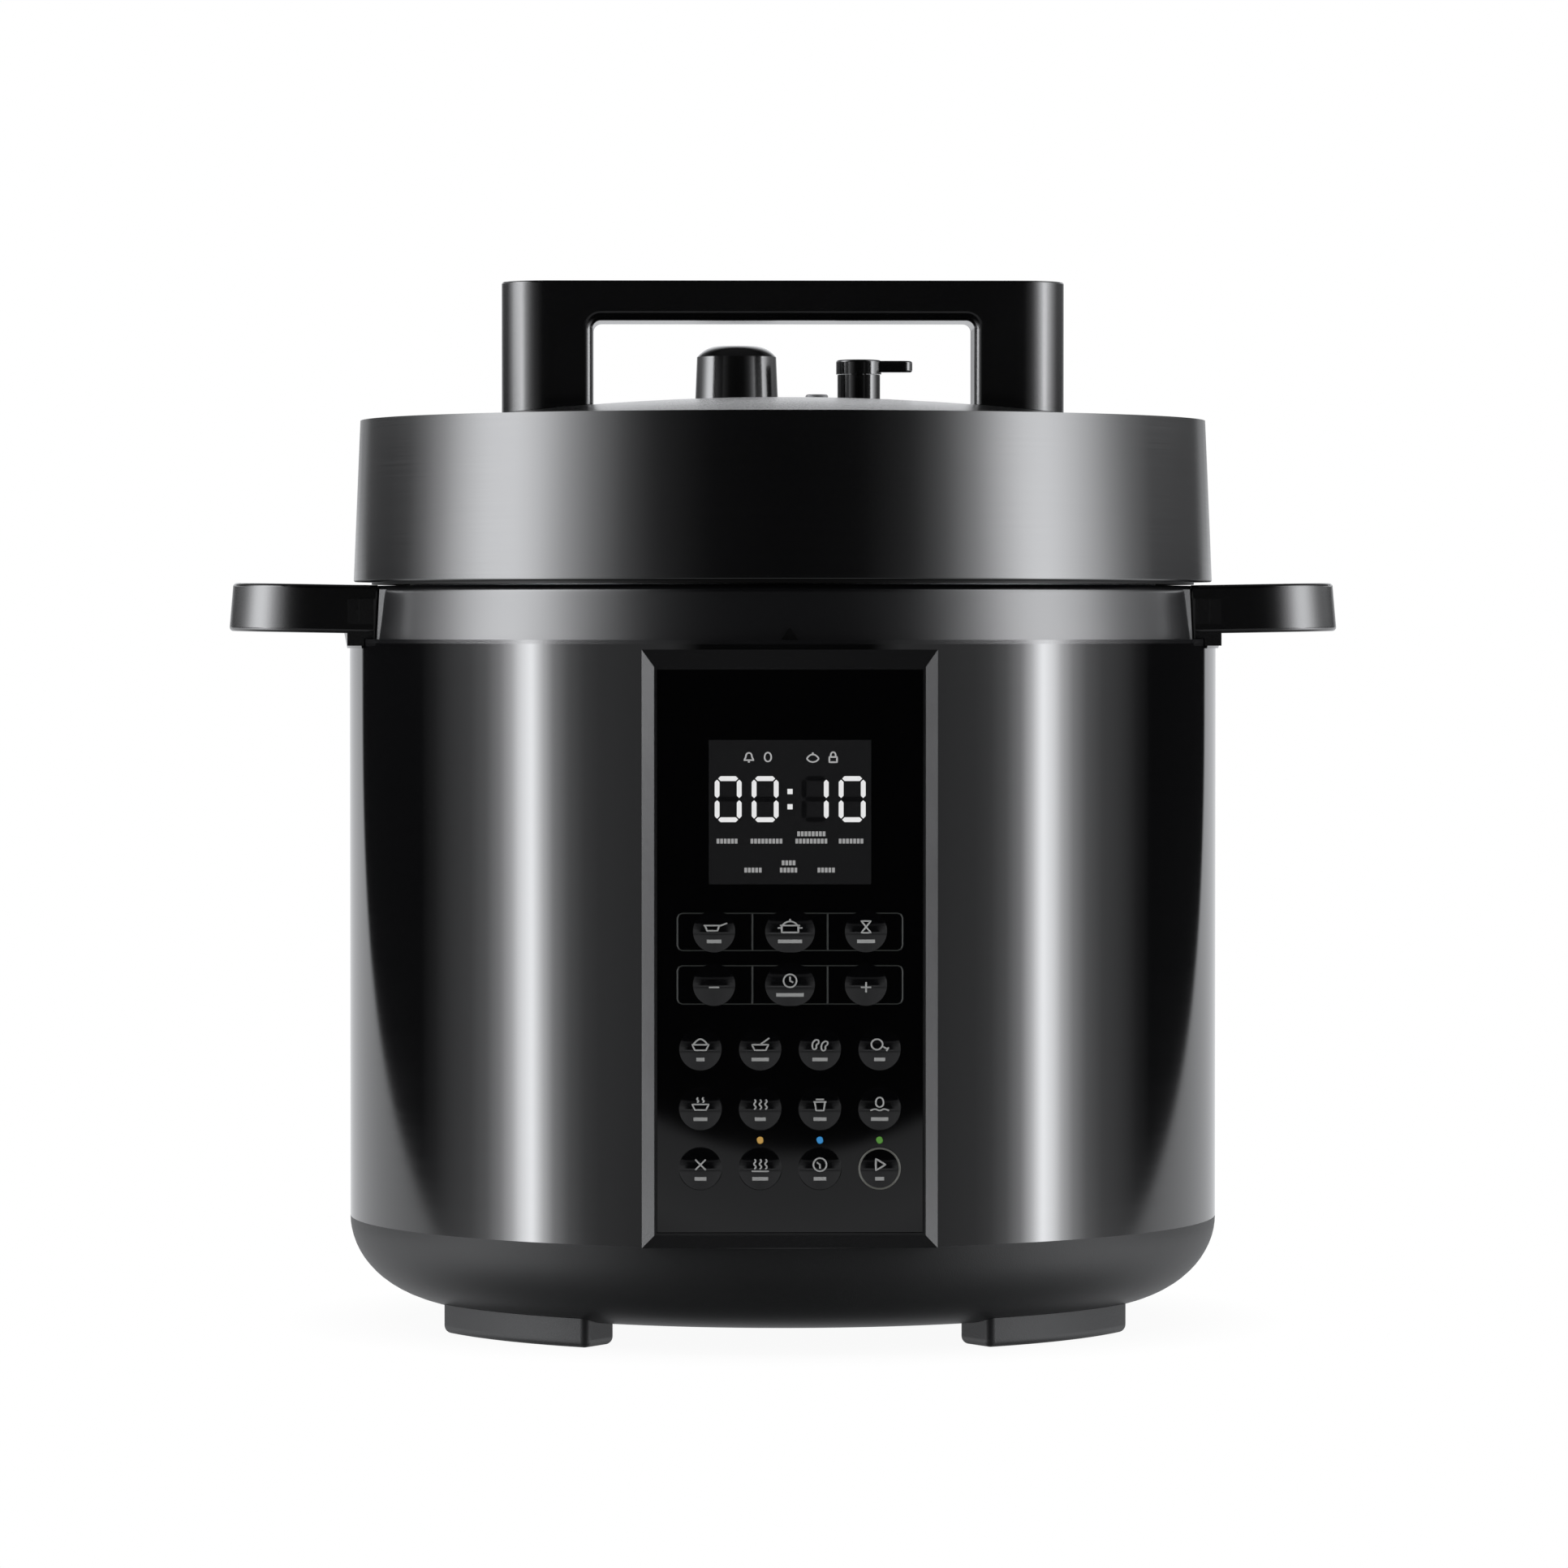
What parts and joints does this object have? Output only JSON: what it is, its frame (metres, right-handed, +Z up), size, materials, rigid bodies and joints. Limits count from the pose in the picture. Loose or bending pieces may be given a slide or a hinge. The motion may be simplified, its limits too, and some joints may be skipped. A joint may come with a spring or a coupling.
{
  "type": "electric pressure cooker",
  "caption": "Round countertop electric pressure cooker with a bayonet lid, bridge handle, side grips, lift-out pot and a front glass panel of domed keys.",
  "frame": {"origin": "on the floor plane under the feet, on the pot's axis", "axes": "+Z up, -Y out of the control panel, +X to the right of a person facing it"},
  "size_m": [0.3384, 0.2772, 0.3186],
  "materials": {
    "base_plastic": "satin",
    "foot_plastic": "satin",
    "black_steel": "gloss black steel",
    "collar_plastic": "satin grey",
    "black_plastic": "satin",
    "lid_plastic": "satin",
    "handle_plastic": "semi gloss",
    "dome_steel": "satin black",
    "liner_metal": "drawn",
    "pot_steel": "brushed",
    "cast_aluminium": "cast",
    "heater_steel": "heat stained",
    "steel": "plain",
    "screw_steel": "zinc plated",
    "contact_brass": "polished",
    "board": "solder mask",
    "switch_plastic": "moulded",
    "display_plastic": "moulded",
    "panel_plastic": "satin",
    "panel_glass": "gloss black",
    "light_guides": "clear",
    "inlet_plastic": "satin",
    "silicone": "soft",
    "valve_plastic": "gloss",
    "key_plastic": "gloss",
    "cup_plastic": "clear"
  },
  "bodies": {
    "housing": {"base_cover": "base_plastic", "feet": "foot_plastic", "body_shell": "black_steel", "top_collar": "collar_plastic", "side_handle_left": "black_plastic", "side_handle_right": "black_plastic", "liner_pot": "liner_metal", "heating_plate": "cast_aluminium", "heater_ring": "heater_steel", "sensor_cup": "cast_aluminium", "sensor_spring": "steel", "pressure_switch": "switch_plastic", "power_board": "board", "control_board": "board", "key_switches": "switch_plastic", "display_module": "display_plastic", "panel_frame": "panel_plastic", "panel_glass": "panel_glass", "status_lights": "light_guides", "power_inlet": "inlet_plastic", "inlet_blades": "contact_brass", "base_screws": "screw_steel", "cup_bay": "black_plastic"},
    "pot": {"inner_pot": "pot_steel"},
    "seal": {"sealing_ring": "silicone"},
    "lid": {"lid_cover": "lid_plastic", "lid_dome": "dome_steel", "lid_handle": "handle_plastic", "handle_bolts": "screw_steel", "lid_plate": "pot_steel", "gasket_rack": "steel", "vent_pipe": "steel", "lid_nuts": "screw_steel", "lever_post": "valve_plastic", "float_guide": "steel", "block_shield": "steel"},
    "valve": {"valve_cap": "valve_plastic"},
    "lever": {"release_lever": "valve_plastic"},
    "float": {"float_pin": "steel", "float_seal": "silicone"},
    "sensor": {"sensor_cap": "steel"},
    "cup": {"condensation_cup": "cup_plastic"},
    "key_saute": {"key_saute": "key_plastic"},
    "key_pressure": {"key_pressure": "key_plastic"},
    "key_slow": {"key_slow": "key_plastic"},
    "key_minus": {"key_minus": "key_plastic"},
    "key_time": {"key_time": "key_plastic"},
    "key_plus": {"key_plus": "key_plastic"},
    "key_rice": {"key_rice": "key_plastic"},
    "key_porridge": {"key_porridge": "key_plastic"},
    "key_bean": {"key_bean": "key_plastic"},
    "key_meat": {"key_meat": "key_plastic"},
    "key_soup": {"key_soup": "key_plastic"},
    "key_steam": {"key_steam": "key_plastic"},
    "key_yogurt": {"key_yogurt": "key_plastic"},
    "key_bath": {"key_bath": "key_plastic"},
    "key_cancel": {"key_cancel": "key_plastic"},
    "key_warm": {"key_warm": "key_plastic"},
    "key_delay": {"key_delay": "key_plastic"},
    "key_start": {"key_start": "key_plastic"}
  },
  "joints": [
    {"name": "pot_lift", "type": "slide", "parent": "housing", "child": "pot", "axis": [0, 0, 1], "range_m": [0, 0.18]},
    {"name": "lid_lift", "type": "slide", "parent": "pot", "child": "seal", "axis": [0, 0, 1], "range_m": [0, 0.2]},
    {"name": "lid_turn", "type": "hinge", "parent": "seal", "child": "lid", "pos_m": [0, 0, 0.2335], "axis": [0, 0, 1], "range_deg": [0, 30]},
    {"name": "valve_lift", "type": "slide", "parent": "lid", "child": "valve", "axis": [0, 0, 1], "range_m": [0, 0.016]},
    {"name": "lever_turn", "type": "hinge", "parent": "lid", "child": "lever", "pos_m": [0.0245, 0.045, 0.292], "axis": [0, 0, 1], "range_deg": [0, 60]},
    {"name": "float_rise", "type": "slide", "parent": "lid", "child": "float", "axis": [0, 0, 1], "range_m": [0, 0.005]},
    {"name": "sensor_press", "type": "slide", "parent": "housing", "child": "sensor", "axis": [0, 0, 1], "range_m": [-0.002, 0], "stiffness_N_per_m": 800, "springref_m": 0.003, "deforming": ["sensor_spring"]},
    {"name": "cup_slide", "type": "slide", "parent": "housing", "child": "cup", "axis": [0, 1, 0], "range_m": [0, 0.03]},
    {"name": "key_saute_press", "type": "slide", "parent": "housing", "child": "key_saute", "axis": [0, 1, 0], "range_m": [0, 0.0006], "stiffness_N_per_m": 500, "springref_m": -0.0005},
    {"name": "key_pressure_press", "type": "slide", "parent": "housing", "child": "key_pressure", "axis": [0, 1, 0], "range_m": [0, 0.0006], "stiffness_N_per_m": 500, "springref_m": -0.0005},
    {"name": "key_slow_press", "type": "slide", "parent": "housing", "child": "key_slow", "axis": [0, 1, 0], "range_m": [0, 0.0006], "stiffness_N_per_m": 500, "springref_m": -0.0005},
    {"name": "key_minus_press", "type": "slide", "parent": "housing", "child": "key_minus", "axis": [0, 1, 0], "range_m": [0, 0.0006], "stiffness_N_per_m": 500, "springref_m": -0.0005},
    {"name": "key_time_press", "type": "slide", "parent": "housing", "child": "key_time", "axis": [0, 1, 0], "range_m": [0, 0.0006], "stiffness_N_per_m": 500, "springref_m": -0.0005},
    {"name": "key_plus_press", "type": "slide", "parent": "housing", "child": "key_plus", "axis": [0, 1, 0], "range_m": [0, 0.0006], "stiffness_N_per_m": 500, "springref_m": -0.0005},
    {"name": "key_rice_press", "type": "slide", "parent": "housing", "child": "key_rice", "axis": [0, 1, 0], "range_m": [0, 0.0006], "stiffness_N_per_m": 500, "springref_m": -0.0005},
    {"name": "key_porridge_press", "type": "slide", "parent": "housing", "child": "key_porridge", "axis": [0, 1, 0], "range_m": [0, 0.0006], "stiffness_N_per_m": 500, "springref_m": -0.0005},
    {"name": "key_bean_press", "type": "slide", "parent": "housing", "child": "key_bean", "axis": [0, 1, 0], "range_m": [0, 0.0006], "stiffness_N_per_m": 500, "springref_m": -0.0005},
    {"name": "key_meat_press", "type": "slide", "parent": "housing", "child": "key_meat", "axis": [0, 1, 0], "range_m": [0, 0.0006], "stiffness_N_per_m": 500, "springref_m": -0.0005},
    {"name": "key_soup_press", "type": "slide", "parent": "housing", "child": "key_soup", "axis": [0, 1, 0], "range_m": [0, 0.0006], "stiffness_N_per_m": 500, "springref_m": -0.0005},
    {"name": "key_steam_press", "type": "slide", "parent": "housing", "child": "key_steam", "axis": [0, 1, 0], "range_m": [0, 0.0006], "stiffness_N_per_m": 500, "springref_m": -0.0005},
    {"name": "key_yogurt_press", "type": "slide", "parent": "housing", "child": "key_yogurt", "axis": [0, 1, 0], "range_m": [0, 0.0006], "stiffness_N_per_m": 500, "springref_m": -0.0005},
    {"name": "key_bath_press", "type": "slide", "parent": "housing", "child": "key_bath", "axis": [0, 1, 0], "range_m": [0, 0.0006], "stiffness_N_per_m": 500, "springref_m": -0.0005},
    {"name": "key_cancel_press", "type": "slide", "parent": "housing", "child": "key_cancel", "axis": [0, 1, 0], "range_m": [0, 0.0006], "stiffness_N_per_m": 500, "springref_m": -0.0005},
    {"name": "key_warm_press", "type": "slide", "parent": "housing", "child": "key_warm", "axis": [0, 1, 0], "range_m": [0, 0.0006], "stiffness_N_per_m": 500, "springref_m": -0.0005},
    {"name": "key_delay_press", "type": "slide", "parent": "housing", "child": "key_delay", "axis": [0, 1, 0], "range_m": [0, 0.0006], "stiffness_N_per_m": 500, "springref_m": -0.0005},
    {"name": "key_start_press", "type": "slide", "parent": "housing", "child": "key_start", "axis": [0, 1, 0], "range_m": [0, 0.0006], "stiffness_N_per_m": 500, "springref_m": -0.0005}
  ]
}
